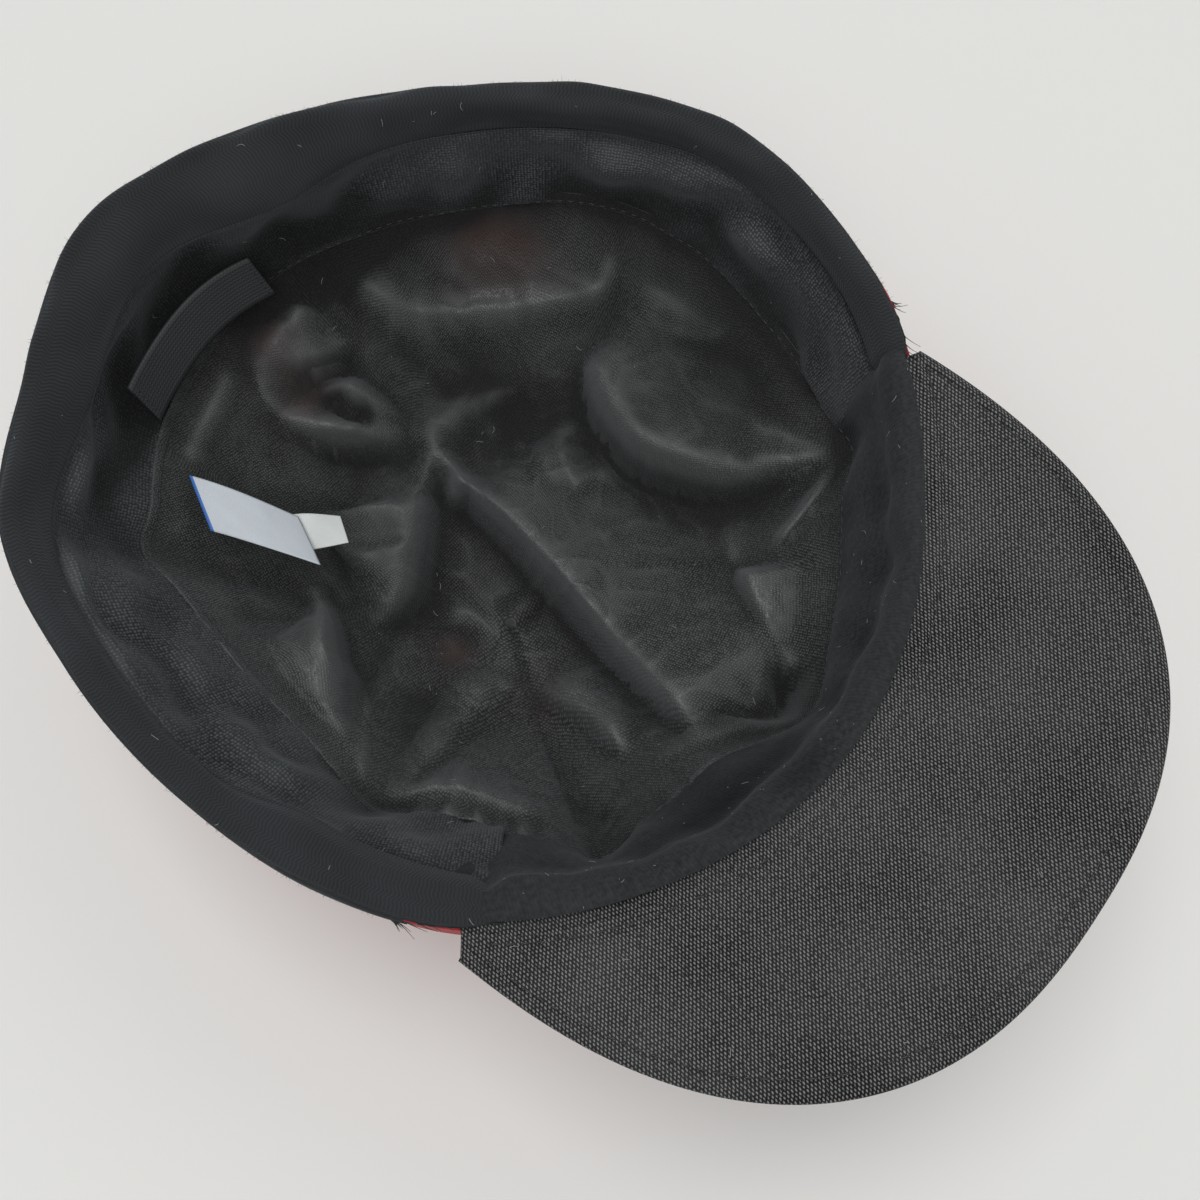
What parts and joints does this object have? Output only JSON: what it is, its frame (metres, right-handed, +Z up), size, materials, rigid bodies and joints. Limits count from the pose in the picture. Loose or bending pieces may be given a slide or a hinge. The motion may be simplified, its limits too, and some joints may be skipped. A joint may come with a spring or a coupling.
{
  "type": "earflap baseball cap",
  "caption": "Soft black cap lying upside down, open hollow upward, with a stiff curved peak and a knit earflap folded up around the crown.",
  "frame": {"origin": "centre of the flat patch of the crown that the cap rests on, lying upside down", "axes": "+Z up out of the head opening, -Y towards the tip of the peak, +X across the cap"},
  "size_m": [0.1871, 0.2519, 0.0951],
  "materials": {
    "red_shell": "matte woven nylon",
    "lining_knit": "fine knit with a soft sheen",
    "band_knit": "fine knit with a soft sheen",
    "brushed_band": "brushed, with lint",
    "rib_knit": "matte fine rib knit",
    "peak_cloth": "oxford weave with a low sheen",
    "strap_elastic": "smooth woven elastic",
    "label_satin": "woven satin",
    "tab_satin": "woven satin"
  },
  "bodies": {
    "root": {"crown_shell": "red_shell", "lining": "lining_knit", "inner_band": "band_knit", "sweatband": "brushed_band", "earflap": "rib_knit", "peak": "peak_cloth", "elastic_strap": "strap_elastic", "woven_label": "label_satin", "size_tab": "tab_satin"}
  },
  "joints": []
}
